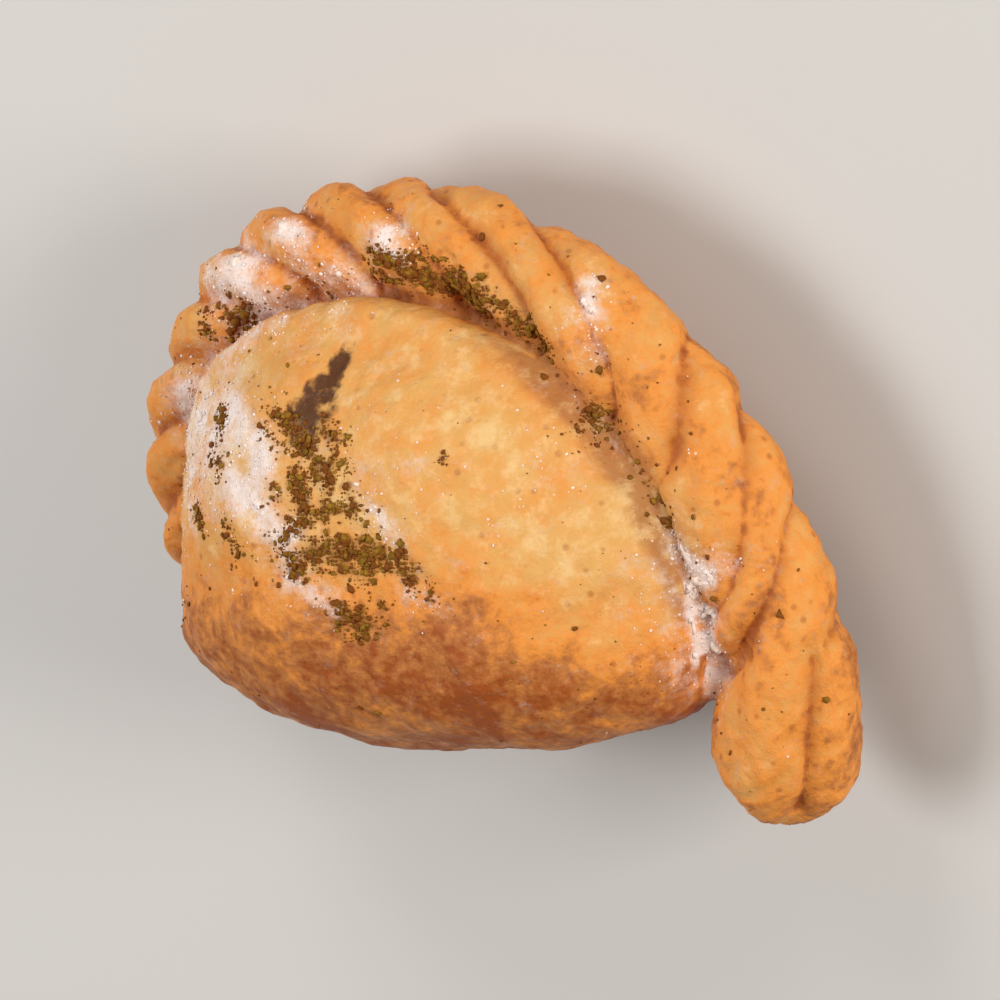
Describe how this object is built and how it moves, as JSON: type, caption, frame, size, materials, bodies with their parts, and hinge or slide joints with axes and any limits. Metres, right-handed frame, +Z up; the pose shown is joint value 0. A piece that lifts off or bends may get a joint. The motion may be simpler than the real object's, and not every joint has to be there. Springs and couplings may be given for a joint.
{
  "type": "ghotab pastry",
  "caption": "Half-moon fried pastry with a plump filled pocket and a twisted rope-like seam, dusted with icing sugar and ground pistachio.",
  "frame": {"origin": "under the middle of the pastry's box, on the surface that the belly rests on", "axes": "+X along the fold towards the rope's tail, +Y from the fold to the top of the arch, +Z up through the dome"},
  "size_m": [0.057, 0.044, 0.0223],
  "materials": {
    "crust": "fried golden-brown dough, dry with a faint oily sheen",
    "icing_sugar": "fine white powder in soft clumps",
    "pistachio": "ground nut, olive green with brown skin, dry and dull"
  },
  "bodies": {
    "root": {"ghotab": "crust"}
  },
  "joints": []
}
